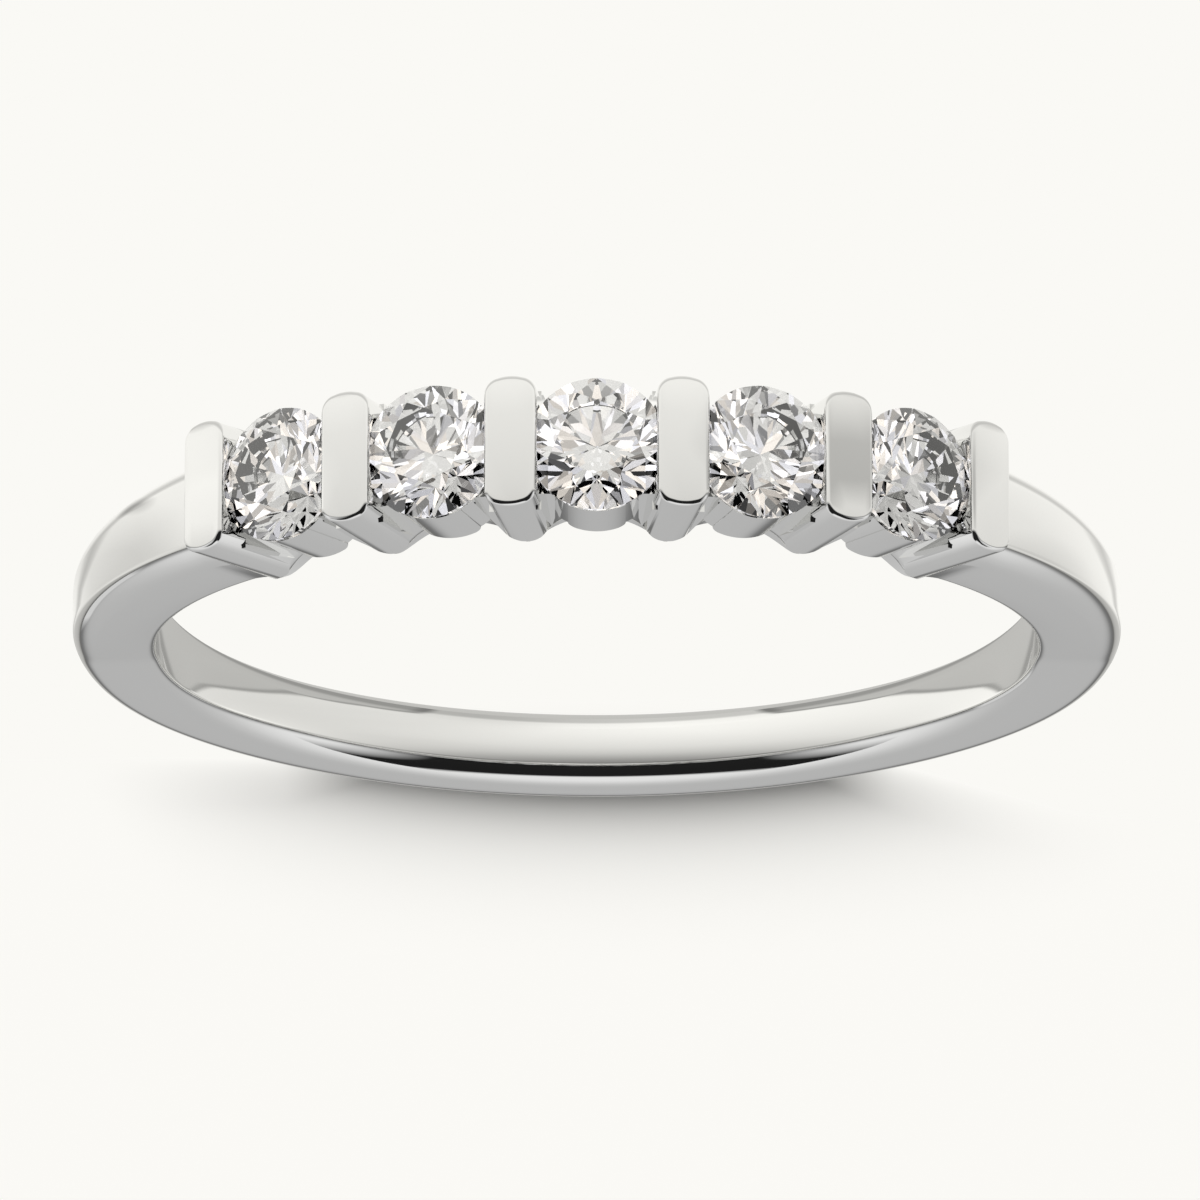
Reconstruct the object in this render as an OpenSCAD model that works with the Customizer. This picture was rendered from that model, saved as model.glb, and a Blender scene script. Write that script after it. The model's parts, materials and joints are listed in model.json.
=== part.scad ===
// A white gold band that holds five round diamonds between six cross bars.
// The ring lies on its side: the finger hole runs nearly along Z, the stones face -Y.

/* [Ring size] */
// Inside diameter of the finger hole
bore_d = 17.3; // [16.5:0.1:18.2]

/* [Shank] */
// Width of the shank at the back of the finger
shank_w = 1.54; // [1.4:0.02:1.8]
// Thickness of the shank, from the finger to the outside
shank_t = 1.65; // [1.5:0.05:1.8]
// Rounding of the two outer edges
outer_round = 0.5; // [0.4:0.02:0.56]
// Rounding of the two inner edges, for comfort
inner_round = 0.3; // [0.2:0.02:0.35]
// Angle at which each side face opens towards the stones
flare_angle = 2.4; // [1.5:0.1:3]

/* [Bars] */
// Thickness of a cross bar, along the finger's round
bar_t = 1.0; // [0.9:0.05:1.1]
// Length of a cross bar, along the finger
bar_len = 2.6; // [2.5:0.05:2.8]
// Height of the bars' tops above the finger
bar_h = 2.6; // [2.5:0.05:2.7]
// Rounding of a bar's top and upright edges
bar_round = 0.16; // [0.1:0.01:0.2]

/* [Stones] */
// Diameter of a round brilliant
stone_d = 2.6; // [2.5:0.02:2.64]
// Angle between one stone and the next, seen from the finger's centre
pitch = 16.8; // [16.6:0.1:17.2]
// Height of the girdle above the finger
girdle_h = 2.21; // [2.15:0.01:2.25]
// Table width, as a share of the stone's diameter
table_share = 0.57; // [0.53:0.01:0.62]
// Crown height, as a share of the stone's diameter
crown_share = 0.15; // [0.13:0.005:0.16]
// Pavilion depth, as a share of the stone's diameter
pavilion_share = 0.43; // [0.41:0.005:0.44]

/* [Setting] */
// Free room between a stone and the metal
seat_gap = 0.04; // [0.03:0.01:0.06]
// Radius of the hollow scallop in each side of the gallery below a stone
scallop_r = 1.22; // [1.1:0.02:1.3]
// Depth of that scallop, measured in from the bars' ends
scallop_depth = 0.58; // [0.4:0.02:0.65]
// Width of the curved lip in front of and behind a stone
lip_w = 1.1; // [0.9:0.05:1.2]
// Diameter of the light hole under a stone
light_hole_d = 1.2; // [0.9:0.05:1.3]

/* [Hidden] */
$fn = 96;
stone_count = 5;

bore_r = bore_d / 2;
shank_r = bore_r + shank_t;
bar_top_r = bore_r + bar_h;
bar_half = bar_len / 2;
stone_r = stone_d / 2;
girdle_r = bore_r + girdle_h;
head_angle = pitch * stone_count / 2;   // from the middle stone to the outermost bar

// The bars start inside the gallery, clear of its rounded inner edges.
bar_foot_r = bore_r + 0.55;
gallery_r = girdle_r - 0.31;
foot_r = shank_r - 0.25;
hidden_round = 0.05;
round_spare = 0.02;                     // how far the shank's roundings start outside its faces

// Where the even cuts beside the shank end and the leaning ones start, from the back.
flare_start = 90.5;
even_end = 91;
cut_spare = 5;                          // how far the leaning cuts run on past the shank's end
sunk = 0.5;                             // how far a cutter or a hidden end runs past a face

// The gallery ends in a ramp on each side that leads down to the shank's side face.
ramp_angle = 16.4;
ramp_end = 50;

scallop_at = bar_half - scallop_depth + scallop_r;
lip_r = stone_r - 0.08;
lip_foot_r = bore_r + 0.6;
lip_top_r = girdle_r - 0.06;
pocket_r = 0.22;
pocket_at = [1.0, 1.06];                // across and along the bar, from the stone's axis
pocket_floor_r = bore_r + 0.6;

// The cut of a brilliant: eight mains above and eight below, with their stars and halves.
girdle_half = 0.05;
mains = 8;
main_step = 360 / mains;
table_r = stone_r * table_share;
crown_h = stone_d * crown_share;
pavilion_h = stone_d * pavilion_share;
star_r = (table_r * cos(main_step / 2) + stone_r) / 2;
star_z = crown_h * (stone_r - star_r * cos(main_step / 2)) / (stone_r - table_r);
keel_r = stone_r * 0.23;                // where the lower halves end, near the culet
keel_z = pavilion_h * (1 - keel_r * cos(main_step / 2) / stone_r);

// The bars are longer than the shank is wide, so the ring leans a little on its side:
// it rests on the lower ends of the two outer bars and on the back of the shank.
back_y = shank_r + round_spare - outer_round;
front_y = (bore_r + inner_round) * cos(head_angle) - (bar_t / 2 - bar_round) * sin(head_angle);
rest_tilt = atan((bar_half - shank_w / 2) / (back_y + front_y));
rest_z = bar_half * cos(rest_tilt) - front_y * sin(rest_tilt);

// The origin is below the middle of the ring's box.
table_y = girdle_r + girdle_half + crown_h;
edge_z = shank_w / 2 - outer_round + sqrt(pow(outer_round, 2) - pow(outer_round - round_spare, 2));
rest_y = (table_y * cos(rest_tilt) + table_r * sin(rest_tilt)
    - shank_r * cos(rest_tilt) - edge_z * sin(rest_tilt)) / 2;

// Puts the ring down on its side.
module rest() {
    translate([0, rest_y, rest_z]) rotate([-rest_tilt, 0, 0]) children();
}

// Turns its children to a place on the head, counted in stones from the middle one.
module station(place) {
    rotate([0, 0, place * pitch]) children();
}

// Stands its children on a circle round the finger, with their +Z pointing outwards.
module outward(radius) {
    translate([0, -radius, 0]) rotate([90, 0, 0]) children();
}

// Outline of the ring's wall: radius across, finger axis up, rounded at the inner
// corners by r_in and at the outer corners by r_out.
module wall_outline(inner_r, outer_r, half_w, r_in, r_out) {
    for (side = [-1, 1]) {
        translate([inner_r + r_in, side * (half_w - r_in)]) circle(r = r_in);
        translate([outer_r - r_out, side * (half_w - r_out)]) circle(r = r_out);
    }
    translate([inner_r, r_in - half_w])
        square([r_in, 2 * (half_w - r_in)]);
    translate([outer_r - r_out, r_out - half_w])
        square([r_out, 2 * (half_w - r_out)]);
    translate([inner_r + r_in, -half_w])
        square([outer_r - r_out - inner_r - r_in, 2 * half_w]);
}

// Turns an outline round the finger, from one angle to another, measured from the back.
module sweep(from, to) {
    rotate([0, 0, 90 + from]) rotate_extrude(angle = to - from) children();
}

// What is cut away beside the shank, with the roundings of its two edges.
module side_cut_outline() {
    difference() {
        translate([bore_r - sunk, shank_w / 2 - outer_round])
            square([shank_t + 2 * sunk, bar_half]);
        wall_outline(bore_r - round_spare, shank_r + round_spare,
            shank_w / 2, inner_round, outer_round);
    }
}

// The shank: even round the back, and opening towards the stones from the sides on,
// where the cuts beside it lean by the flare angle.
module shank() {
    reach = 180 - head_angle;
    turn = reach + cut_spare - flare_start;
    difference() {
        difference() {
            sweep(-reach, reach) translate([bore_r, -bar_half]) square([shank_t, bar_len]);
            for (side = [0, 1])
                mirror([0, 0, side]) sweep(-even_end, even_end) side_cut_outline();
        }
        for (side = [0, 1], from = [-reach - cut_spare, flare_start])
            mirror([0, 0, side]) rotate([-flare_angle, 0, 0])
                sweep(from, from + turn) side_cut_outline();
    }
}

// One cutter above a plane that climbs towards -Y by the given angle.
module above_ramp(angle, y, z) {
    translate([0, y, z]) rotate([-angle, 0, 0])
        translate([-shank_r, -shank_r * 2, 0]) cube([shank_r * 2, shank_r * 4, shank_r]);
}

// The foot of the gallery, with ends that ramp down to the shank's side faces.
module gallery_foot() {
    ramp_y = -bore_r * cos(ramp_end);
    ramp_z = shank_w / 2 - ramp_y * tan(flare_angle);
    difference() {
        sweep(180 - ramp_end, 180 + ramp_end)
            wall_outline(bore_r, foot_r, bar_half, inner_round, hidden_round);
        for (side = [0, 1]) mirror([0, 0, side]) above_ramp(ramp_angle, ramp_y, ramp_z);
    }
}

module cross_bar() {
    body_h = bar_top_r - bar_foot_r;
    intersection() {
        // upright edges
        outward(bar_foot_r) linear_extrude(body_h) rounded_outline(bar_t, bar_len);
        // long top edges
        translate([0, -bar_foot_r - body_h / 2, -bar_half - sunk])
            linear_extrude(bar_len + 2 * sunk) top_rounded_outline(bar_t, body_h);
        // short top edges
        translate([-bar_t, -bar_foot_r - body_h / 2, 0]) rotate([0, 90, 0])
            linear_extrude(2 * bar_t) top_rounded_outline(bar_len, body_h);
    }
}

module rounded_outline(w, h) {
    square([w - 2 * bar_round, h], center = true);
    square([w, h - 2 * bar_round], center = true);
    for (x = [-1, 1], y = [-1, 1])
        translate([x * (w / 2 - bar_round), y * (h / 2 - bar_round)]) circle(r = bar_round);
}

// Rounded at the -Y corners, and run on past the other end.
module top_rounded_outline(w, h) {
    translate([0, sunk / 2]) square([w - 2 * bar_round, h + sunk], center = true);
    translate([0, (sunk + bar_round) / 2]) square([w, h + sunk - bar_round], center = true);
    for (x = [-1, 1])
        translate([x * (w / 2 - bar_round), bar_round - h / 2]) circle(r = bar_round);
}

// The gallery that joins the bars below the stones, with a pocket beside each bar.
module gallery() {
    difference() {
        sweep(180 - head_angle - 2, 180 + head_angle + 2)
            translate([bar_foot_r, -bar_half]) square([gallery_r - bar_foot_r, bar_len]);
        for (place = [-2:2], x = [-1, 1], z = [-1, 1])
            station(place) outward(pocket_floor_r)
                translate([x * pocket_at[0], z * pocket_at[1], 0]) cylinder(r = pocket_r, h = 3);
    }
}

module scallops() {
    for (place = [-2:2], z = [-1, 1])
        station(place) outward(bore_r - sunk)
            translate([0, z * scallop_at, 0]) cylinder(r = scallop_r, h = 3);
}

// The curved lip that shows in front of a stone, and the same behind it.
module lips() {
    for (place = [-2:2])
        station(place) outward(lip_foot_r) intersection() {
            cylinder(r = lip_r, h = lip_top_r - lip_foot_r);
            translate([-lip_w / 2, -bar_half, 0])
                cube([lip_w, bar_len, lip_top_r - lip_foot_r]);
        }
}

// The hollow that a stone sits in: its own outline with a little room all round.
module seat() {
    wide = stone_r + seat_gap;
    deep = pavilion_h + girdle_half + 2 * seat_gap;
    outward(girdle_r) rotate_extrude() polygon([
        [0, -deep],
        [wide, -girdle_half - seat_gap],
        [wide, girdle_half + seat_gap],
        [table_r + seat_gap, girdle_half + seat_gap + crown_h],
        [table_r + seat_gap, crown_h + sunk],
        [0, crown_h + sunk]
    ]);
    outward(bore_r - sunk) cylinder(d = light_hole_d, h = girdle_h);
}

module band() {
    color("gainsboro") rest() difference() {
        union() {
            shank();
            difference() {
                union() {
                    gallery_foot();
                    gallery();
                    for (place = [-2.5:2.5]) station(place) cross_bar();
                }
                scallops();
            }
            lips();
        }
        for (place = [-2:2]) station(place) seat();
        cylinder(r = bore_r, h = 2 * bar_len, center = true);
    }
}

// Points evenly round a stone's axis, at one radius and height.
function ring(count, first, radius, z) = [
    for (i = [0:count - 1])
        let (turn = first + i * 360 / count) [radius * cos(turn), radius * sin(turn), z]
];

// A round brilliant with its girdle at Z = 0 and its table up.
module brilliant() {
    points = concat(
        ring(mains, 0, table_r, girdle_half + crown_h),
        ring(mains, main_step / 2, star_r, girdle_half + star_z),
        ring(2 * mains, 0, stone_r, girdle_half),
        ring(2 * mains, 0, stone_r, -girdle_half),
        ring(mains, main_step / 2, keel_r, -girdle_half - keel_z),
        [[0, 0, -girdle_half - pavilion_h]]
    );
    culet = 7 * mains;
    function table_at(i) = i % mains;
    function star_at(i) = mains + (i + mains) % mains;
    function upper_at(j) = 2 * mains + j % (2 * mains);
    function lower_at(j) = 4 * mains + j % (2 * mains);
    function keel_at(i) = 6 * mains + (i + mains) % mains;
    polyhedron(points, concat(
        [[for (i = [mains - 1:-1:0]) table_at(i)]],
        [for (i = [0:mains - 1]) each [
            [table_at(i), table_at(i + 1), star_at(i)],
            [table_at(i), star_at(i), upper_at(2 * i), star_at(i - 1)],
            [star_at(i), upper_at(2 * i + 1), upper_at(2 * i)],
            [star_at(i), upper_at(2 * i + 2), upper_at(2 * i + 1)],
            [keel_at(i), lower_at(2 * i), lower_at(2 * i + 1)],
            [keel_at(i), lower_at(2 * i + 1), lower_at(2 * i + 2)],
            [culet, keel_at(i - 1), lower_at(2 * i), keel_at(i)]
        ]],
        [for (j = [0:2 * mains - 1])
            [upper_at(j), upper_at(j + 1), lower_at(j + 1), lower_at(j)]]
    ));
}

module stone(number) {
    place = number - (stone_count + 1) / 2;
    color("white") rest() station(place) outward(girdle_r) brilliant();
}

band();
stone(1);  // stone_1
stone(2);  // stone_2
stone(3);  // stone_3
stone(4);  // stone_4
stone(5);  // stone_5
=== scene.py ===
# %% [markdown]
# # A five-stone diamond band
# The ring in this lesson is a slim band of polished white gold. Six upright cross bars hold
# five round diamonds between them. The whole metal part is one casting, and each stone is a
# cut crystal of its own.
#
# The solids of the ring were made elsewhere at real size, and they come in as a fixed frame.
# This script gives the ring its looks: softly rounded metal, stones cut facet by facet, and
# the studio round them. The first cell loads the frame and keeps the size of its box.

import json
import math

import bmesh
import bpy
from mathutils import Matrix, Vector


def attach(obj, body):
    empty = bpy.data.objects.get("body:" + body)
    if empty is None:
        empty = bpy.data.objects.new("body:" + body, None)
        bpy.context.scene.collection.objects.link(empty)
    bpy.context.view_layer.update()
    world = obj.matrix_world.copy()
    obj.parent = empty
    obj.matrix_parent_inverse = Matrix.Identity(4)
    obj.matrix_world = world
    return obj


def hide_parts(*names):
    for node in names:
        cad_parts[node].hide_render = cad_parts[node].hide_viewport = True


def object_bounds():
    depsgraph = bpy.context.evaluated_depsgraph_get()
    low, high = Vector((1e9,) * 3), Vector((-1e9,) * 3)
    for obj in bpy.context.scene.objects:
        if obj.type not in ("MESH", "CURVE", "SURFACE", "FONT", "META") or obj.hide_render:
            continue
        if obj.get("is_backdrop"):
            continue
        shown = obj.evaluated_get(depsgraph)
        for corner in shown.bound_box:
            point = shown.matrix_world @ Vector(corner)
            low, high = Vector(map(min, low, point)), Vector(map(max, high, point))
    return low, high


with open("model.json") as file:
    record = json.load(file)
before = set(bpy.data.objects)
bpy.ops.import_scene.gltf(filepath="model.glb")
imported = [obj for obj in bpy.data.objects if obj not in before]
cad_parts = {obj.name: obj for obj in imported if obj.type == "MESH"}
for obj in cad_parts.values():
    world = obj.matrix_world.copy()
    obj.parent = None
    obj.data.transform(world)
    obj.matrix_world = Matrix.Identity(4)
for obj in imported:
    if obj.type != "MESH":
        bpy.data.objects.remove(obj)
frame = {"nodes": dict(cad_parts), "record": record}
cad_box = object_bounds()
bpy.ops.object.select_all(action="DESELECT")
print("solids in the frame:", sorted(frame["nodes"]))

# %% [markdown]
# ## Where the ring lies
# The ring lies on its side and leans a little, because its bars are longer than its shank is
# wide. It is much easier to model a ring about its own middle, so every piece is modelled in
# ring space: millimetres, the finger hole along Z, the middle stone towards -Y. One helper
# then scales a finished piece to metres, leans it and moves it to the real place.
#
# The record of the frame says where the hole's middle is and which way the hole runs.

# %% The ring's place and its main sizes, in millimetres
bore = next(m for m in frame["record"]["mounts"] if m["name"] == "finger_bore")
hole_middle = Vector(bore["pos_m"])
lean = math.atan2(bore["axis"][1], bore["axis"][2])
MM = 0.001

bore_r = bore["dims"]["r_mm"]
shank_t = 1.648  # the shank's thickness, from the finger outwards
shank_r = bore_r + shank_t
bar_len = 2.596  # a cross bar's length along the finger
bar_half = bar_len / 2
bar_t = 1.0
bar_top_r = bore_r + 2.6
stone_r = 1.3
girdle_r = bore_r + 2.21  # how far out the stones' widest edges stand
girdle_half = 0.05
pitch = math.radians(16.8)  # from one stone to the next
stone_places = [-2, -1, 0, 1, 2]
head_angle = len(stone_places) / 2 * pitch
print("bore radius", bore_r, "mm; lean", round(math.degrees(lean), 2), "degrees")

# %% Helpers for place


def pick(*pieces):
    """Selects these objects alone, in object mode, and makes the first one active."""
    bpy.ops.object.select_all(action="DESELECT")
    for piece in pieces:
        piece.select_set(True)
    bpy.context.view_layer.objects.active = pieces[0]


def settle(piece):
    """Puts an object's place, turn and scale into its mesh."""
    pick(piece)
    bpy.ops.object.transform_apply(location=True, rotation=True, scale=True)


def lay_down(piece):
    """Takes a finished piece from ring space to its real size and place."""
    piece.matrix_world = (
        Matrix.Translation(hole_middle) @ Matrix.Rotation(-lean, 4, "X") @ Matrix.Scale(MM, 4)
    )
    settle(piece)


def turn_to(piece, angle):
    """Turns a piece about the finger's axis, from the middle stone towards +X."""
    piece.rotation_euler = (0, 0, angle)
    settle(piece)


def stand_out(piece, radius):
    """Turns a piece that was made along Z outwards from the finger, at that radius."""
    piece.rotation_euler = (math.pi / 2, 0, 0)
    piece.location = (0, -radius, 0)
    settle(piece)


# %% [markdown]
# ## Working as by hand
# In Blender's window a modeller clicks a face and pulls it. In a script the click becomes a
# test: of all points, edges or faces, the ones whose middle passes the test are selected,
# and the next operator acts on them alone. The first group of helpers does that clicking.
#
# The second group does what a workshop does with whole pieces: cut away, solder on, copy,
# and saw along a plane.

# %% Helpers for selecting and finishing
near = 1e-3  # mm: a point this close to a place counts as being there
weld = 1e-4  # mm: points closer than this become one


def begin_edit(piece):
    """Picks a piece and goes into edit mode."""
    pick(piece)
    bpy.ops.object.mode_set(mode="EDIT")


def end_edit():
    """Goes back to object mode."""
    bpy.ops.object.mode_set(mode="OBJECT")


def middle(part):
    """The place of a point, or the middle of an edge or a face."""
    if isinstance(part, bmesh.types.BMVert):
        return part.co
    if isinstance(part, bmesh.types.BMFace):
        return part.calc_center_median()
    return (part.verts[0].co + part.verts[1].co) / 2


def select_where(kind, test):
    """In edit mode, selects the points, edges or faces whose middle passes the test."""
    bpy.ops.mesh.select_mode(type=kind)
    bpy.ops.mesh.select_all(action="DESELECT")
    mesh = bmesh.from_edit_mesh(bpy.context.edit_object.data)
    parts = {"VERT": mesh.verts, "EDGE": mesh.edges, "FACE": mesh.faces}[kind]
    for part in parts:
        if test(middle(part)):
            part.select_set(True)
    bmesh.update_edit_mesh(bpy.context.edit_object.data)


# %% Helpers for whole pieces


def add_modifier(piece, kind, **settings):
    """Adds a modifier to a piece, sets it and applies it at once."""
    pick(piece)
    modifier = piece.modifiers.new(kind.lower(), kind)
    for name, value in settings.items():
        setattr(modifier, name, value)
    bpy.ops.object.modifier_apply(modifier=modifier.name)


def cut_away(piece, *tools):
    """Cuts each tool out of a piece, and throws the tool away."""
    for tool in tools:
        add_modifier(piece, "BOOLEAN", operation="DIFFERENCE", solver="EXACT", object=tool)
        bpy.data.objects.remove(tool)


def fuse(piece, *others):
    """Joins other closed pieces to a piece, as solder would."""
    for other in others:
        add_modifier(piece, "BOOLEAN", operation="UNION", solver="EXACT", object=other)
        bpy.data.objects.remove(other)


def copy_of(piece, name):
    """A copy of a piece, with a mesh of its own."""
    twin = piece.copy()
    twin.data = piece.data.copy()
    twin.name = name
    bpy.context.collection.objects.link(twin)
    return twin


def slice_off(piece, point, normal):
    """Cuts a piece with a plane, drops what lies on the normal's side and closes the cut."""
    begin_edit(piece)
    bpy.ops.mesh.select_all(action="SELECT")
    bpy.ops.mesh.bisect(plane_co=point, plane_no=normal, use_fill=True, clear_outer=True)
    end_edit()


def outward_normals(piece):
    """Turns all faces of a closed piece outwards."""
    begin_edit(piece)
    bpy.ops.mesh.select_all(action="SELECT")
    bpy.ops.mesh.normals_make_consistent(inside=False)
    end_edit()


def count(piece):
    """A line for the notebook: how many points and faces a piece has."""
    return f"{piece.name}: {len(piece.data.vertices)} points, {len(piece.data.polygons)} faces"


# %% [markdown]
# ## The shank
# The shank is the plain part that goes round the finger. Seen in section it is a rectangle
# with well rounded corners. It is even round the back, opens slowly from the sides on, and
# swells quickly just before the outermost bars. Its corners change on the way too. At the
# back the outer rounding reaches far across the side face, and towards the stones the inner
# edge gets tighter.
#
# A spin is the natural way: one section is drawn at the back and turned about the finger's
# axis, which leaves a ring of points every 1.2 degrees.

# %% Draw the section and spin it
shank_half = 0.77
inner_round = 0.42
outer_round = 0.46
ring_step = math.radians(1.2)
spin_steps = 115


def wall_section(inner_r, outer_r, half_w, r_in, r_out, name):
    """The outline of a wall at the back of the ring, with rounded corners, as bare edges."""
    bpy.ops.mesh.primitive_plane_add(size=1)
    section = bpy.context.object
    section.name = name
    section.rotation_euler = (0, math.pi / 2, 0)
    section.scale = (2 * half_w, outer_r - inner_r, 1)
    section.location = (0, (inner_r + outer_r) / 2, 0)
    settle(section)
    begin_edit(section)
    for radius, is_corner in (
        (r_in, lambda p: p.y < inner_r + weld),
        (r_out, lambda p: p.y > outer_r - weld),
    ):
        if radius:
            select_where("VERT", is_corner)
            bpy.ops.mesh.bevel(offset=radius, segments=10, affect="VERTICES")
    bpy.ops.mesh.select_all(action="SELECT")
    bpy.ops.mesh.delete(type="ONLY_FACE")
    end_edit()
    return section


def spin_about_finger(section, steps, angle):
    """Turns a bare outline about the finger's axis and leaves the swept skin."""
    begin_edit(section)
    bpy.ops.mesh.select_all(action="SELECT")
    bpy.ops.mesh.spin(steps=steps, angle=angle, center=(0, 0, 0), axis=(0, 0, 1))
    end_edit()


half_shank = wall_section(bore_r, shank_r, shank_half, inner_round, outer_round, "half_shank")
spin_about_finger(half_shank, spin_steps, spin_steps * ring_step)
if max(v.co.x for v in half_shank.data.vertices) < 1:
    half_shank.scale = (-1, 1, 1)  # the spin went the other way round
    settle(half_shank)
outward_normals(half_shank)
print(count(half_shank))

# %% [markdown]
# ### From an even hoop to a shank
# A modeller would scale and pull the hoop with proportional editing. In a script it is clearer
# to go from ring to ring of points. The points of each rounding are scaled about the corner
# that they round, which changes the rounding's size and leaves the flat faces flat. Then the
# two sides are pulled apart along the finger by the amount that the place asks for.

# %% How the width and the roundings change
# Angles are measured from the middle stone, so 180 degrees is the back of the ring.
flare_slope = 0.0425  # how fast each side face opens towards the stones
flare_from = -0.5
swell_from = math.radians(49)
swell_to = math.radians(42)
swell_half = bar_half - 0.12
shank_middle_r = 9.55
inner_tight = 0.45  # the inner rounding's share that is left towards the stones
inner_grows = (math.radians(95), math.radians(140))
crown_long = 1.8  # the outer rounding's reach across the side face, at the back
crown_high = 1.15
crown_grows = (math.radians(105), math.radians(150))


def ease(value, start, end):
    """Runs softly from 0 to 1 while the value goes from start to end."""
    share = min(max((value - start) / (end - start), 0), 1)
    return share ** 2 * (3 - 2 * share)


def half_width(from_head):
    """Half the shank's width, at an angle from the middle stone."""
    height = shank_middle_r * math.cos(from_head)
    width = shank_half + flare_slope * max(0, height - flare_from)
    width += (swell_half - width) * ease(from_head, swell_from, swell_to)
    return width


def ring_angle(point):
    """Angle from the middle stone, seen along the finger."""
    return math.atan2(abs(point.x), -point.y)


def select_ring(from_head, side, nearest_r=0, farthest_r=20):
    """Selects one ring of points on one side, between two distances from the finger's axis."""
    select_where("VERT", lambda p: abs(ring_angle(p) - from_head) < ring_step / 3
                 and p.z * side > 0 and nearest_r < math.hypot(p.x, p.y) < farthest_r)


for degrees in (180, 90, 60, 51, 45, 42):
    print("half width at", degrees, "degrees from the head:",
          round(half_width(math.radians(degrees)), 3), "mm")

# %% Shape the hoop ring by ring
begin_edit(half_shank)
for step in range(spin_steps + 1):
    from_head = math.pi - step * ring_step
    wider = half_width(from_head) - shank_half
    tighter = inner_tight + (1 - inner_tight) * ease(from_head, *inner_grows)
    crown = ease(from_head, *crown_grows)
    outward = Vector((math.sin(from_head), -math.cos(from_head), 0))
    for side in (-1, 1):
        if tighter < 1:
            select_ring(from_head, side, farthest_r=bore_r + inner_round + near)
            corner = outward * bore_r + Vector((0, 0, side * shank_half))
            bpy.ops.transform.resize(value=(tighter, tighter, tighter), center_override=corner)
        if crown > 0:
            select_ring(from_head, side, nearest_r=shank_r - outer_round - near)
            corner = outward * shank_r + Vector((0, 0, side * shank_half))
            longer, higher = 1 + (crown_long - 1) * crown, 1 + (crown_high - 1) * crown
            bpy.ops.transform.resize(value=(longer, longer, higher), center_override=corner)
        if wider > 0:
            select_ring(from_head, side)
            bpy.ops.transform.translate(value=(0, 0, side * wider))
end_edit()
print(count(half_shank))

# %% [markdown]
# ## One bay of the setting
# The setting repeats five times: a stone, and on each side of it half a cross bar. So one bay
# is modelled once, with care, and copied five times. A casting like this begins as wax that
# is built up and then carved, and the bay is made in the same order. A short wall and two
# bars are fused, the finger hole is cut, a hollow scallop is cut into each side below the
# stone, curved lips are set into the scallops, and last the stone's seat and the narrow
# pockets beside the bars are cut.
#
# The bars are plain boxes at first. Each end is sliced twice, which makes it a low roof with
# its ridge upright. The ridge, the upright corners and then the top edges are bevelled in
# edit mode, and that gives a polished bar its soft outline.

# %% A cross bar
end_lean = math.radians(14)  # each half of the roof falls off by this much
end_rise = 0.02  # the sharp ridge stands this much too far out, before it is rounded
end_round = 0.18
bar_corner = 0.24
bar_edge = 0.09
bar_foot_r = bore_r - 0.3  # the foot reaches into the finger hole, which is cut later


def make_bar():
    """One cross bar, standing over the middle of the head."""
    bpy.ops.mesh.primitive_cube_add(size=1)
    bar = bpy.context.object
    bar.name = "bar"
    bar.scale = (bar_t, bar_top_r - bar_foot_r, bar_len + 2 * end_rise)
    bar.location = (0, -(bar_top_r + bar_foot_r) / 2, 0)
    settle(bar)
    for end in (-1, 1):
        for flank in (-1, 1):
            normal = (flank * math.sin(end_lean), 0, end * math.cos(end_lean))
            slice_off(bar, (0, 0, end * (bar_half + end_rise)), normal)
    halfway = -(bar_top_r + bar_foot_r) / 2
    begin_edit(bar)
    for offset, at_flank in ((end_round, False), (bar_corner, True)):
        select_where("EDGE", lambda p: abs(p.y - halfway) < near and abs(p.z) > 1
                     and (abs(p.x) > bar_t / 2 - near if at_flank else abs(p.x) < near))
        bpy.ops.mesh.bevel(offset=offset, segments=8, affect="EDGES")
    select_where("FACE", lambda p: p.y < -bar_top_r + near)
    bpy.ops.mesh.region_to_loop()
    bpy.ops.mesh.bevel(offset=bar_edge, segments=7, affect="EDGES")
    end_edit()
    return bar


bar = make_bar()
print(count(bar))

# %% The short wall of a bay
gallery_r = girdle_r - 0.31  # the wall ends below the stone's widest edge
gallery_half = bar_half - 0.12
wall_reach = pitch + math.radians(2.4)
wall_steps = 16


def make_bay_wall():
    """A closed stretch of wall below one stone, a little longer than a bay at each end."""
    section = wall_section(bar_foot_r, gallery_r, gallery_half, 0, 0, "bay_wall")
    begin_edit(section)
    bpy.ops.mesh.select_all(action="SELECT")
    bpy.ops.mesh.edge_face_add()
    end_edit()
    turn_to(section, math.pi - wall_reach / 2)
    spin_about_finger(section, wall_steps, wall_reach)
    begin_edit(section)
    bpy.ops.mesh.select_all(action="SELECT")
    bpy.ops.mesh.remove_doubles(threshold=weld)
    bpy.ops.mesh.normals_make_consistent(inside=False)
    end_edit()
    angles = [math.atan2(v.co.x, -v.co.y) for v in section.data.vertices]
    turn_to(section, -(max(angles) + min(angles)) / 2)
    return section


bay_wall = make_bay_wall()
print(count(bay_wall))

# %% [markdown]
# ### The cutters
# A cutter is a solid that takes metal away. The finger hole and the scallops are plain round
# rods. Both flare like a trumpet, which rounds the edge they leave: the hole at its two ends,
# a scallop where it breaks into the hole. The flare is extruded in small steps, each a little
# wider than the one before.

# %% Rods and flares
flare_steps = 9
spare = 0.5  # mm: how far a cutter runs past the metal


def make_rod(radius, low, high, name, sides=96):
    """A round rod along Z."""
    bpy.ops.mesh.primitive_cylinder_add(
        vertices=sides, radius=radius, depth=high - low, location=(0, 0, (low + high) / 2)
    )
    rod = bpy.context.object
    rod.name = name
    settle(rod)
    return rod


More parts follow.
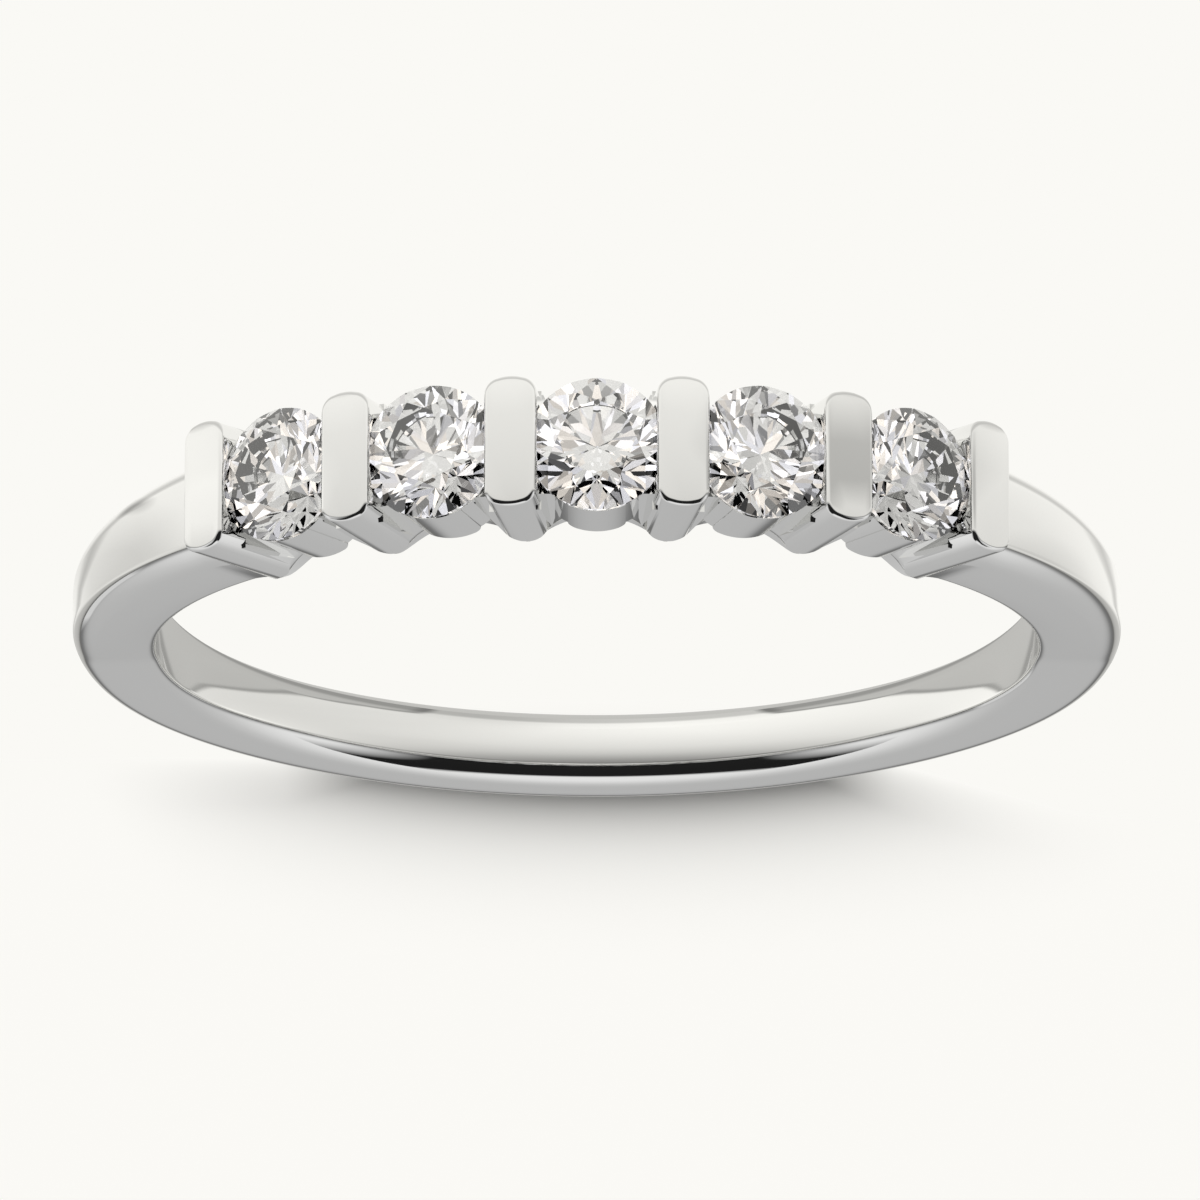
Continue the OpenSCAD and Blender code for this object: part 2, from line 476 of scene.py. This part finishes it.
def flare(rod, height, up, radius, widen, drop, along=(1, 1)):
    """Extrudes the end of a rod in steps that follow a quarter of a round."""
    begin_edit(rod)
    select_where("FACE", lambda p: abs(p.z - height) < near)
    rise, wide = 0, 1
    for step in range(1, flare_steps + 1):
        turned = math.pi / 2 * step / flare_steps
        next_rise = drop * math.sin(turned)
        next_wide = 1 + widen * (1 - math.cos(turned)) / radius
        bpy.ops.mesh.extrude_region_move(
            TRANSFORM_OT_translate={"value": (0, 0, up * (next_rise - rise))}
        )
        grow = [next_wide / wide if side else 1 for side in along]
        bpy.ops.transform.resize(value=(*grow, 1), center_override=(0, 0, height))
        rise, wide = next_rise, next_wide
    bpy.ops.mesh.extrude_region_move(TRANSFORM_OT_translate={"value": (0, 0, up * spare)})
    end_edit()


# %% The finger hole and the scallops
scallop_r = 1.22
scallop_at = 1.94  # the rod's axis, from the middle of the wall
scallop_sunk = 1
scallop_top = 4
keel_top = 0.56  # the metal left below a scallop, above the finger
keel_drop = 0.3
keel_widen = 0.3


def make_hole():
    """The finger hole, with its rounded ends."""
    straight = bar_half - inner_round
    hole = make_rod(bore_r, -straight, straight, "hole", sides=300)
    for up in (-1, 1):
        flare(hole, up * straight, up, bore_r, inner_round, inner_round)
    return hole


def make_scallop(side):
    """The hollow below the stone on one side, with a keel of metal left along the hole."""
    keel_from = scallop_sunk + keel_top
    scallop = make_rod(scallop_r, keel_from, scallop_top, "scallop", sides=128)
    flare(scallop, keel_from, -1, scallop_r, keel_widen, keel_drop, along=(1, 0))
    scallop.location = (0, side * scallop_at, 0)
    settle(scallop)
    stand_out(scallop, bore_r - scallop_sunk)
    return scallop


half_chord = math.sqrt(scallop_r ** 2 - (scallop_at - bar_half) ** 2)
print("a scallop opens", round(2 * half_chord, 2), "mm wide between the bars' ends")

# %% [markdown]
# The seat starts as a rod through the light hole. Its top is extruded and scaled four times,
# so that it opens like the stone's lower cone, runs straight past the girdle and closes again
# over the crown. The stone then sits in it with a small gap all round.

# %% The seat
seat_gap = 0.045
light_hole_r = 0.6
light_hole_from = -3.2
light_hole_to = -0.75
crown_h = 0.39
table_r = 0.741
past_crown = 1


def make_seat():
    """The hollow for a stone, with the light hole below it, as heights above the girdle."""
    wide = stone_r + seat_gap
    seat = make_rod(light_hole_r, light_hole_from, light_hole_to, "seat")
    rises = [
        (-girdle_half - seat_gap, wide),
        (girdle_half + seat_gap, wide),
        (girdle_half + seat_gap + crown_h, table_r + seat_gap),
        (crown_h + past_crown, table_r + seat_gap),
    ]
    begin_edit(seat)
    select_where("FACE", lambda p: p.z > light_hole_to - near)
    height, radius = light_hole_to, light_hole_r
    for next_height, next_radius in rises:
        bpy.ops.mesh.extrude_region_move(
            TRANSFORM_OT_translate={"value": (0, 0, next_height - height)}
        )
        grow = next_radius / radius
        bpy.ops.transform.resize(value=(grow, grow, 1), center_override=(0, 0, next_height))
        height, radius = next_height, next_radius
    end_edit()
    stand_out(seat, girdle_r)
    return seat


print("the light hole is", 2 * light_hole_r, "mm wide")

# %% [markdown]
# The pocket is a wedge against the flank of a bar. A cube's eight corners are picked one by
# one and taken to where the wedge has them.

# %% The pocket
past_flank = 0.003
pocket_ends = {
    True: {"radius": bore_r + 1.95, "wide": 0.27, "floor": 0.86},
    False: {"radius": bore_r + 0.5, "wide": 0.05, "floor": 1.06},
}


def make_pocket(flank, side):
    """A wedge beside one bar: wide and deep at the stone, down to a thin tip at the finger."""
    bpy.ops.mesh.primitive_cube_add(size=1)
    pocket = bpy.context.object
    pocket.name = "pocket"
    begin_edit(pocket)
    for at_top, end in pocket_ends.items():
        for at_flank in (True, False):
            for at_front in (True, False):
                start = Vector((-0.5 if at_flank else 0.5, -0.5 if at_top else 0.5,
                                0.5 if at_front else -0.5))
                x = bar_t / 2 - past_flank if at_flank else bar_t / 2 + end["wide"]
                z = bar_half + spare if at_front else end["floor"]
                select_where("VERT", lambda p: (p - start).length < near)
                bpy.ops.transform.translate(value=Vector((x, -end["radius"], z)) - start)
    end_edit()
    pocket.scale = (flank, 1, side)
    settle(pocket)
    outward_normals(pocket)
    return pocket


for at_top, end in pocket_ends.items():
    print("pocket", "at the stone:" if at_top else "at the finger:", end["wide"], "mm wide")

# %% [markdown]
# ### The lips
# In front of each stone a curved lip closes the scallop. It is the front of a rod that is a
# touch thinner than the stone, so the stone's edge stands over it by a hair. One rod makes
# the front lip and the back lip at once, because the seat will take its middle away. The rod
# narrows towards the finger, its sides are cut flat, and its lower corners are rounded by
# slicing them at one angle after another, as with a file.
#
# A second rod, thinner but cut wider, leaves a low web of metal on both sides of each lip.

# %% The lips
lip_high = -0.06  # the lip's top, below the middle of the stone's girdle
lip_taper = 0.948
lip_corner = 0.16
corner_turns = [math.radians(turn) for turn in (0, 22.5, 45, 67.5)]


def make_lips(name, radius, half, foot_r):
    """The front and back lip of a stone, as one rod that is cut flat at its sides."""
    low = foot_r - girdle_r
    lips = make_rod(radius, low, lip_high, name, sides=160)
    begin_edit(lips)
    select_where("FACE", lambda p: p.z < low + near)
    bpy.ops.transform.resize(value=(lip_taper, lip_taper, 1))
    end_edit()
    for side in (-1, 1):
        corner = Vector((side * (half - lip_corner), 0, low + lip_corner))
        for turn in corner_turns:
            normal = Vector((side * math.cos(turn), 0, -math.sin(turn)))
            slice_off(lips, corner + lip_corner * normal, normal)
    stand_out(lips, girdle_r)
    print(count(lips))
    return lips


lips = make_lips("lips", stone_r - 0.02, half=0.545, foot_r=bore_r + 0.62)
webs = make_lips("webs", stone_r - 0.04, half=0.80, foot_r=bore_r + 0.72)

# %% [markdown]
# ### The order of the work
# The scallops are cut before the lips go in, because the lips stand in them. The seat is cut
# after that, because it hollows the lips' rods and gives their tops the stone's round.

# %% Put a bay together
bay = bay_wall
bay.name = "bay"
for side in (-1, 1):
    one = copy_of(bar, "bar_beside_bay")
    turn_to(one, side * pitch / 2)
    fuse(bay, one)
cut_away(bay, make_hole())
cut_away(bay, make_scallop(-1), make_scallop(1))
fuse(bay, webs, lips)
cut_away(bay, make_seat())
for flank in (-1, 1):
    for side in (-1, 1):
        pocket = make_pocket(flank, side)
        turn_to(pocket, -flank * pitch / 2)
        cut_away(bay, pocket)
print(count(bay))

# %% [markdown]
# ### Even on all four sides
# The bay is cut through the middle of its right bar. Then a quarter of it is kept and
# mirrored twice, so all its corners are alike and the ends of two neighbours match exactly.

# %% Keep a quarter and mirror it


def trim(piece, point, normal):
    """Cuts a piece with a plane and drops what lies on the normal's side, leaving it open."""
    begin_edit(piece)
    bpy.ops.mesh.select_all(action="SELECT")
    bpy.ops.mesh.bisect(plane_co=point, plane_no=normal, use_fill=False, clear_outer=True)
    end_edit()


def ray_normal(from_head):
    """The normal of a plane through the finger's axis, pointing away from the stones."""
    return (math.cos(from_head), math.sin(from_head), 0)


trim(bay, (0, 0, 0), ray_normal(pitch / 2))
trim(bay, (0, 0, 0), (-1, 0, 0))
trim(bay, (0, 0, 0), (0, 0, -1))
add_modifier(bay, "MIRROR", use_axis=(True, False, True), merge_threshold=weld)
print(count(bay))

# %% Copy the bay to the five stones
bays = []
for place in stone_places:
    one = copy_of(bay, f"bay_{place}")
    turn_to(one, place * pitch)
    bays.append(one)
bpy.data.objects.remove(bay)
pick(*bays)
bpy.ops.object.join()
band = bpy.context.object
band.name = "polished_band"
begin_edit(band)
bpy.ops.mesh.select_all(action="SELECT")
bpy.ops.mesh.remove_doubles(threshold=weld)
end_edit()
print(count(band))

# %% [markdown]
# ### The ends of the setting
# Beyond the last stone stands the outer half of the outermost bar, and the shank runs into
# it. Half the shank and that bar are fused, and the pair is mirrored. The two halves meet at
# the back. At the bars a hair's breadth is left open, and the gap is bridged.

# %% Fuse the outer bar to half the shank
bridge_gap = 0.03  # the hair's breadth between the setting and the shank's half bar


def cap_ends(piece):
    """Closes every open end of a piece."""
    begin_edit(piece)
    bpy.ops.mesh.select_mode(type="EDGE")
    bpy.ops.mesh.select_all(action="DESELECT")
    bpy.ops.mesh.select_non_manifold()
    bpy.ops.mesh.edge_face_add()
    end_edit()


cap_ends(half_shank)
cut_away(bar, make_hole())
turn_to(bar, head_angle)
fuse(half_shank, bar)
outward = Vector(ray_normal(head_angle))
trim(half_shank, outward * bridge_gap, -outward)
begin_edit(half_shank)
select_where("FACE", lambda p: abs(p.x) < weld)
bpy.ops.mesh.delete(type="ONLY_FACE")
end_edit()
add_modifier(half_shank, "MIRROR", merge_threshold=weld)
print(count(half_shank))

# %% Join the ring and bridge the gaps
pick(band, half_shank)
bpy.ops.object.join()
for side in (-1, 1):
    across = Vector((side * outward.x, outward.y, 0))
    begin_edit(band)
    bpy.ops.mesh.select_mode(type="EDGE")
    bpy.ops.mesh.select_all(action="DESELECT")
    mesh = bmesh.from_edit_mesh(band.data)
    for edge in mesh.edges:
        if edge.is_boundary and abs(middle(edge).dot(across)) < 2 * bridge_gap:
            edge.select_set(True)
    bmesh.update_edit_mesh(band.data)
    bpy.ops.mesh.bridge_edge_loops()
    end_edit()
outward_normals(band)
print(count(band))

# %% Lay the band down
smooth_below = math.radians(28)
lay_down(band)
pick(band)
bpy.ops.object.shade_smooth_by_angle(angle=smooth_below)
print("the band measures", [round(size / MM, 2) for size in band.dimensions], "mm")

# %% [markdown]
# ## The stones
# A round brilliant is cut just as a cutter does it: a plain round blank is ground flat at one
# angle after another. Each cut is a plane through a known point, leaning by a known angle, and
# it is repeated round the stone. The girdle keeps its waved edge by itself.
#
# The table below has a row for each kind of facet: its angle, the radius and the height of a
# point it passes through, how many there are and where the first one lies.

# %% Cut one brilliant
table_h = girdle_half + crown_h
star_r = 0.992
star_h = 0.2675
half_step_r = stone_r * math.cos(math.radians(11.25))
facets = [
    ("crown main", 34.9, stone_r, girdle_half, 8, 0),
    ("star", 21.7, star_r, girdle_half + star_h, 8, 22.5),
    ("upper half", 41.5, half_step_r, girdle_half, 16, 11.25),
    ("pavilion main", -40.9, stone_r, -girdle_half, 8, 0),
    ("lower half", -42.1, half_step_r, -girdle_half, 16, 11.25),
]


def cut_brilliant():
    """One stone, with its table towards +Z and its girdle at height 0."""
    stone = make_rod(stone_r, -stone_r, table_h, "brilliant", sides=96)
    for kind, lean_deg, radius, height, times, first in facets:
        tilt = math.radians(abs(lean_deg))
        up = 1 if lean_deg > 0 else -1
        for k in range(times):
            around = math.radians(first + k * 360 / times)
            out = Vector((math.cos(around), math.sin(around), 0))
            normal = out * math.sin(tilt) + Vector((0, 0, up * math.cos(tilt)))
            slice_off(stone, out * radius + Vector((0, 0, height)), normal)
        print(kind, "cut", times, "times;", count(stone))
    return stone


brilliant = cut_brilliant()
stand_out(brilliant, girdle_r)

# %% Set the five stones
stones = []
for place in stone_places:
    stone = copy_of(brilliant, f"cut_stone_{place + 3}")
    turn_to(stone, place * pitch)
    lay_down(stone)
    stones.append(stone)
    print(stone.name, "turned by", round(math.degrees(place * pitch), 1), "degrees")
bpy.data.objects.remove(brilliant)

# %% [markdown]
# ## The materials
# Polished white gold is a plain mirror of a slightly warm grey. Diamond is clear and bends
# light far more than glass does, which is what makes its facets sparkle. Neither has a
# pattern, so both are a few plain numbers on the shader's own sockets.

# %% White gold and diamond


def new_material(name):
    """A new material, and the sockets of its shader."""
    material = bpy.data.materials.new(name)
    material.use_nodes = True
    return material, material.node_tree.nodes["Principled BSDF"].inputs


white_gold, shader = new_material("white_gold_polished")
shader["Base Color"].default_value = (0.86, 0.86, 0.85, 1)
shader["Metallic"].default_value = 1
shader["Roughness"].default_value = 0.06
diamond, shader = new_material("diamond_clear")
shader["Base Color"].default_value = (1, 1, 1, 1)
shader["Roughness"].default_value = 0
shader["IOR"].default_value = 2.42
shader["Transmission Weight"].default_value = 1
band.data.materials.clear()
band.data.materials.append(white_gold)
for stone in stones:
    stone.data.materials.clear()
    stone.data.materials.append(diamond)
print("materials:", white_gold.name, "and", diamond.name)

# %% Tie the pieces to the frame
band.visible_diffuse = False
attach(band, "root")
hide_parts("band")
for number, stone in enumerate(stones, 1):
    stone.visible_diffuse = False
    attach(stone, "root")
    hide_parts(f"stone_{number}")
print(1 + len(stones), "pieces are tied to the frame")

# %% [markdown]
# ## The studio
# Polished metal has no look of its own. It shows what stands round it, so most of the work in
# a picture of a ring goes into what the metal sees. A photographer lays the ring on white
# paper, and puts grey and white cards close to it, out of the picture.
#
# Here the paper and the sky do the work of the cards. To the camera the paper is even and nearly
# white. To the metal the paper glows with painted reflections and painted shade, brighter or darker
# from place to place, with a painted contact shadow round the ring. The levels follow the place on
# the paper or the direction in the sky and nothing else, so they stay where they are when the camera
# moves. They come from small tables: each row is a place and a level, and the level runs evenly from
# row to row.
#
# The rows were chosen for one view. A helper script traced what each spot of the metal mirrors from
# the photo's camera, and averaged the photo's brightness by that place. The rows were set near those
# averages and then changed after looking at renders. So this is no plain studio that suits every
# view: from behind, the side face is nearly black, and from above, the shadow has cut edges and is
# missing inside the hole.

# %% Helpers for node trees


def new_node(tree, kind, *settings, **values):
    """Adds a node and sets its choices and sockets. A socket goes by its name or, as _0, by
    its number, and it gets a fixed value or a link."""
    node = tree.nodes.new("ShaderNode" + kind)
    for name, value in settings:
        setattr(node, name, value)
    for name, value in values.items():
        by_number = name[1:].isdigit()
        socket = node.inputs[int(name[1:])] if by_number else node.inputs[name.replace("_", " ")]
        if isinstance(value, bpy.types.NodeSocket):
            tree.links.new(value, socket)
        else:
            socket.default_value = value
    return node


def calculate(tree, operation, *values):
    """One step of arithmetic on numbers or sockets."""
    sockets = {f"_{k}": value for k, value in enumerate(values)}
    return new_node(tree, "Math", ("operation", operation), **sockets).outputs["Value"]


def ramp(tree, measure, *stops):
    """A level that follows a measure from stop to stop, each a pair of measure and level."""
    first, last = stops[0][0], stops[-1][0]
    low, top = min(level for at, level in stops), max(level for at, level in stops)
    along = new_node(tree, "MapRange", Value=measure, From_Min=first, From_Max=last)
    node = new_node(tree, "ValToRGB", Fac=along.outputs["Result"])
    marks = node.color_ramp.elements
    for number, (at, level) in enumerate(stops):
        spot = (at - first) / (last - first)
        mark = marks[0] if number == 0 else marks[-1] if at == last else marks.new(spot)
        mark.position = spot
        grey = (level - low) / (top - low)
        mark.color = (grey, grey, grey, 1)
    return calculate(tree, "MULTIPLY_ADD", node.outputs["Color"], top - low, low)


def ramp_mm(tree, measure, *stops):
    """The same, with the stops' places in millimetres."""
    return ramp(tree, measure, *[(at * MM, level) for at, level in stops])


# %% [markdown]
# ### What the metal sees of the paper
# These levels are painted reflections and painted shade, a glow of the paper that the metal mirrors.
# Inside the finger hole the paper is painted dark in the middle and bright at the rim, with a thin
# painted dark line on each side, and the pattern bulges aside towards the back. Outside, it is
# bright at first, then a thin painted contact shadow, which draws the edges of the side face, and
# then it falls off, painted darker behind the ring. Last come a few round painted spots that stand
# in for grey and white cards. The tables are in millimetres.

# %% The levels of the paper
# In the hole: a level by the distance from its middle.
in_hole = [(0, 0.25), (3, 0.30), (4, 0.47), (5, 0.72), (6, 0.90), (7.5, 1.08), (8.3, 1.15),
           (8.85, 1.1), (9, 0.7)]
# In the hole: a level from side to side. That pattern bulges outwards by so much, from the
# front to the back, and which_side turns the bulge the right way on each side.
across_hole = [(-9, 0.54), (-3.75, 0.54), (-3.55, 0.35), (-3.45, 0.35), (-3.25, 0.98), (-1, 1.02),
               (0.5, 0.95), (1.6, 0.82), (2.4, 0.78), (3.25, 0.78), (3.45, 0.35), (3.55, 0.35),
               (3.75, 0.52), (9, 0.52)]
hole_bulge = [(-9, 0), (5.9, 0), (6.1, 0.95), (6.5, 1.2), (7.5, 0.7), (8.1, -0.1), (9, -0.2)]
which_side = [(-3, -1), (3, 1)]
# Outside: a level by the distance from the middle, after that distance has been made shorter by
# contact_reach, which runs from the front to the back. The dip in beyond_ring is a painted contact
# shadow, a thin line that contact_reach pushes further out towards the back. A second level runs the
# same way and paints the paper darker behind the ring.
rim_r = 9.2
beyond_ring = [(9, 1.05), (9.85, 1.05), (10.1, 0.68), (10.3, 0.68), (10.6, 1.06), (11.6, 1.0),
               (12.5, 0.95), (15, 0.91), (17.5, 0.88), (22, 0.83), (60, 0.36)]
contact_reach = [(-12, 0.80), (-7.6, 0.80), (-7.4, -0.2), (-4.4, 0.1), (-2.6, 0.4), (0, 0.95),
                 (1.7, 1.3), (3, 1.85), (4, 2.1), (12, 2.1)]
behind_ring = [(-20, 1), (3.5, 1), (6, 0.62), (60, 0.5)]
# Painted reflection spots, standing in for grey and white cards: x, y, radius and level. A spot is
# even within a third of its radius.
painted_reflection_spots = [(9.9, -3.8, 0.9, 0.62), (-8.8, -13.2, 6.0, 0.62), (13.5, -0.3, 5.5, 0.80),
         (-17.0, -2.0, 5.0, 0.80), (13.5, -9.0, 6.0, 1.20)]


def level_in_hole(tree, split, from_middle):
    """The paper's painted reflection and painted shade inside the finger hole."""
    bulge = calculate(tree, "MULTIPLY", ramp_mm(tree, split.outputs["Y"], *hole_bulge), MM)
    shift = calculate(tree, "MULTIPLY", bulge, ramp_mm(tree, split.outputs["X"], *which_side))
    across = calculate(tree, "SUBTRACT", split.outputs["X"], shift)
    return calculate(tree, "MULTIPLY", ramp_mm(tree, from_middle, *in_hole),
                     ramp_mm(tree, across, *across_hole))


def level_outside(tree, split, from_middle, place):
    """The paper's painted reflection and painted shade round the ring, with the painted spots."""
    reach = calculate(tree, "MULTIPLY", ramp_mm(tree, split.outputs["Y"], *contact_reach), MM)
    past = calculate(tree, "SUBTRACT", from_middle, reach)
    level = calculate(tree, "MULTIPLY", ramp_mm(tree, past, *beyond_ring),
                      ramp_mm(tree, split.outputs["Y"], *behind_ring))
    # Each spot is a painted reflection: a disc of darker or brighter glow on the paper that the
    # metal mirrors.
    for x, y, radius, shade in painted_reflection_spots:
        away = new_node(tree, "VectorMath", ("operation", "DISTANCE"),
                        _0=place, _1=(x * MM, y * MM, 0)).outputs["Value"]
        spot_level = ramp_mm(tree, away, (0, shade), (radius / 3, shade), (radius, 1))
        level = calculate(tree, "MULTIPLY", level, spot_level)
    return level


print("the paper's levels:", len(in_hole) + len(across_hole), "inside the hole,",
      len(beyond_ring) + len(behind_ring), "outside, and", len(painted_reflection_spots), "painted_reflection_spots")

# %% [markdown]
# ### What the camera sees of the paper
# The paper glows evenly, and behind the ring four fifths of the glow give way to real light on real
# paper, so that the soft lamp can throw a shadow there. The lit part begins behind the hole, and
# further back beside the ring than behind it. That edge was also set from where the photo's floor is
# bright.

# %% The floor
floor_size = 4.0
paper_white = (0.93, 0.921, 0.888, 1)
paper_glow = (0.956, 0.947, 0.913, 1)
lit_share = 0.80
lit_past_hole = [(8.8, 0), (10.0, lit_share)]
lit_behind = [(8, 0), (11, 1)]
lit_late = [(-12, 8.5), (-10, 8.0), (-8.5, 6.7), (-6.2, 4.8), (-4.5, 2.6), (-2.5, 0.8), (0, 0),
            (2.5, 0.8), (4.5, 2.6), (6.5, 4.3), (12, 4.5)]


def lit_part(tree, split, from_middle):
    """How much of what the camera sees is lit paper, and not glow."""
    late = calculate(tree, "MULTIPLY", ramp_mm(tree, split.outputs["X"], *lit_late), MM)
    behind = calculate(tree, "SUBTRACT", split.outputs["Y"], late)
    return calculate(tree, "MULTIPLY", ramp_mm(tree, from_middle, *lit_past_hole),
                     ramp_mm(tree, behind, *lit_behind))


def make_paper():
    """White paper: even to the camera but for the shadow, and to the metal a glow of painted
    reflections and painted shade.
    """
    paper, shader = new_material("paper_white")
    shader["Base Color"].default_value = paper_white
    shader["Roughness"].default_value = 1
    shader["Specular IOR Level"].default_value = 0
    tree = paper.node_tree
    place = new_node(tree, "TexCoord").outputs["Object"]
    split = new_node(tree, "SeparateXYZ", Vector=place)
    from_middle = new_node(tree, "VectorMath", ("operation", "LENGTH"), _0=place).outputs["Value"]
    is_out = calculate(tree, "GREATER_THAN", from_middle, rim_r * MM)
    level = new_node(tree, "Mix", ("data_type", "FLOAT"), _0=is_out,
                     _2=level_in_hole(tree, split, from_middle),
                     _3=level_outside(tree, split, from_middle, place))
    # The paper's painted reflections and painted shade, as a glow that the metal mirrors.
    mirrored = new_node(tree, "Emission", Color=paper_glow, Strength=level.outputs[0])
    glow = new_node(tree, "Emission", Color=paper_glow, Strength=1.0)
    table = new_node(tree, "MixShader", _0=lit_part(tree, split, from_middle),
                     _1=glow.outputs["Emission"],
                     _2=tree.nodes["Principled BSDF"].outputs["BSDF"])
    ray = new_node(tree, "LightPath")
    blend = new_node(tree, "MixShader", _0=ray.outputs["Is Camera Ray"],
                     _1=mirrored.outputs["Emission"], _2=table.outputs["Shader"])
    tree.links.new(blend.outputs["Shader"], tree.nodes["Material Output"].inputs["Surface"])
    return paper


bpy.ops.mesh.primitive_plane_add(size=floor_size)
floor = bpy.context.object
floor.name = "floor"
floor.data.materials.append(make_paper())
floor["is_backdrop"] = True
print("the floor is", floor_size, "m wide")

# %% [markdown]
# ### The sky
# The sky of the studio is a dome. To the metal it is bright on the camera's side, greyer
# behind the ring and darker near the horizon, with a low window on the ring's +X side. A
# wide dark patch lies in front. It draws the thin dark lines that make polished metal look
# polished.
#
# Light that has passed through a stone meets another sky, a soft pattern of lamps and dark
# gaps between them, some a little cool and some a little warm. Each facet picks another bit
# of it, and that is a diamond's fire and sparkle.

# %% The dome
# By the direction's Y, from the front to the back, and by its Z, from the horizon up.
sky_levels = [(-1, 1.0), (-0.45, 0.9), (0, 0.86), (0.2, 0.78), (0.5, 0.62), (0.75, 0.54),
              (0.9, 0.515), (1, 0.5)]
horizon = [(0, 0.32), (0.05, 0.42), (0.1, 0.68), (0.15, 0.88), (0.19, 0.97), (0.26, 1.0)]
# The window and the dark patch, from side to side and from low to high.
window_wide = [(0.35, 0), (0.5, 0.7), (0.85, 0.7), (0.95, 0)]
window_high = [(-0.02, 1), (0.12, 1), (0.2, 0)]
patch_wide = [(0.68, 1), (0.95, 0)]
patch_high = [(0.02, 0), (0.06, 1), (0.88, 1), (0.94, 0)]
patch_depth = 0.985
# The sky of the stones: how fine its pattern of lamps and its pattern of hues are.
lamp_grain = 4.5
hue_grain = 3.1
cool_white = (0.92, 0.92, 0.97, 1)
warm_white = (1.0, 0.93, 0.85, 1)


def sky_for_metal(tree, place):
    """The sky with its window and its dark patch."""
    split = new_node(tree, "SeparateXYZ", Vector=place)
    sky = calculate(tree, "MULTIPLY", ramp(tree, split.outputs["Y"], *sky_levels),
                    ramp(tree, split.outputs["Z"], *horizon))
    window = calculate(tree, "MULTIPLY", ramp(tree, split.outputs["X"], *window_wide),
                       ramp(tree, split.outputs["Z"], *window_high))
    sky = calculate(tree, "MAXIMUM", sky, window)
    aside = calculate(tree, "ABSOLUTE", split.outputs["X"])
    patch = calculate(tree, "MULTIPLY", ramp(tree, aside, *patch_wide),
                      ramp(tree, split.outputs["Z"], *patch_high))
    patch = calculate(tree, "MULTIPLY", patch, calculate(tree, "LESS_THAN", split.outputs["Y"], 0.0))
    spared = calculate(tree, "MULTIPLY_ADD", patch, -patch_depth, 1.0)
    return calculate(tree, "MULTIPLY", sky, spared)


def sky_for_stones(tree, place):
    """The pattern of lamps that the facets pick from."""
    lamps = new_node(tree, "TexNoise", Vector=place, Scale=lamp_grain, Detail=1.0, Roughness=0.5)
    bright = new_node(tree, "MapRange", Value=lamps.outputs["Fac"], From_Min=0.36, From_Max=0.64,
                      To_Min=0.10, To_Max=1.75)
    hue = new_node(tree, "TexNoise", Vector=place, Scale=hue_grain, Detail=0.0)
    warmth = new_node(tree, "MapRange", Value=hue.outputs["Fac"], From_Min=0.40, From_Max=0.60)
    tinted = new_node(tree, "Mix", ("data_type", "RGBA"), _0=warmth.outputs["Result"],
                      _6=cool_white, _7=warm_white)
    return new_node(tree, "VectorMath", ("operation", "SCALE"), _0=tinted.outputs[2],
                    Scale=bright.outputs["Result"]).outputs["Vector"]


dome = bpy.data.worlds.new("studio_dome")
bpy.context.scene.world = dome
dome.use_nodes = True
tree = dome.node_tree
place = new_node(tree, "TexCoord").outputs["Generated"]
ray = new_node(tree, "LightPath")
blend = new_node(tree, "Mix", ("data_type", "RGBA"), _0=ray.outputs["Is Transmission Ray"],
                 _6=sky_for_metal(tree, place), _7=sky_for_stones(tree, place))
tree.links.new(blend.outputs[2], tree.nodes["Background"].inputs["Color"])
dome.cycles_visibility.diffuse = False
print("the dome has", len(tree.nodes), "nodes")

# %% [markdown]
# ### The lamp
# One broad lamp lights the paper from the front. It stands lower than the camera does, so
# that its shadow falls past the back of the ring, where the camera can see it. Its wide angle
# makes the shadow's edge soft. Neither the metal nor the stones show the lamp.

# %% The soft lamp
key_up = math.radians(12.4)
key_turn = math.radians(3)
key_wide = math.radians(14)
key_energy = 15.1
bpy.ops.object.light_add(type="SUN", rotation=(math.pi / 2 - key_up, 0, key_turn))
sun = bpy.context.object
sun.name = "soft_key"
sun.data.energy = key_energy
sun.data.angle = key_wide
sun.visible_glossy = False
sun.visible_transmission = False
print("the lamp stands", round(math.degrees(key_up), 1), "degrees above the floor")

# %% [markdown]
# ## The camera
# The camera stands a quarter of a metre away, with a long lens. It looks down on the ring
# from the side of the stones. The photo shows the ring the other way up, so the camera is
# rolled half a turn.

# %% The camera
camera_up = math.radians(19.4)
camera_far = 0.25
view_px = 1200
focal_px = 12712
middle_px = (596.84, 617.77)
sensor = 36.0
towards_camera = Vector((0, -math.cos(camera_up), math.sin(camera_up)))
bpy.ops.object.camera_add(location=hole_middle + camera_far * towards_camera)
camera = bpy.context.object
looks_down = Matrix.Rotation(math.pi / 2 - camera_up, 3, "X")
half_turn = Matrix.Rotation(math.pi, 3, "Z")
camera.rotation_euler = (looks_down @ half_turn).to_euler()
camera.data.sensor_width = sensor
camera.data.lens = focal_px * sensor / view_px
camera.data.shift_x = (view_px / 2 - middle_px[0]) / view_px
camera.data.shift_y = (middle_px[1] - view_px / 2) / view_px
camera.data.clip_start = 0.01
bpy.context.scene.camera = camera
bpy.context.scene.view_settings.view_transform = "Standard"
print("the camera looks down by", round(math.degrees(camera_up), 1), "degrees")

# %% Measure and finish
now_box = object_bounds()
sizes = {"cad": [list(corner) for corner in cad_box], "visual": [list(corner) for corner in now_box]}
for name, box in sizes.items():
    print(name, "box in mm:", [[round(1000 * x, 3) for x in corner] for corner in box])
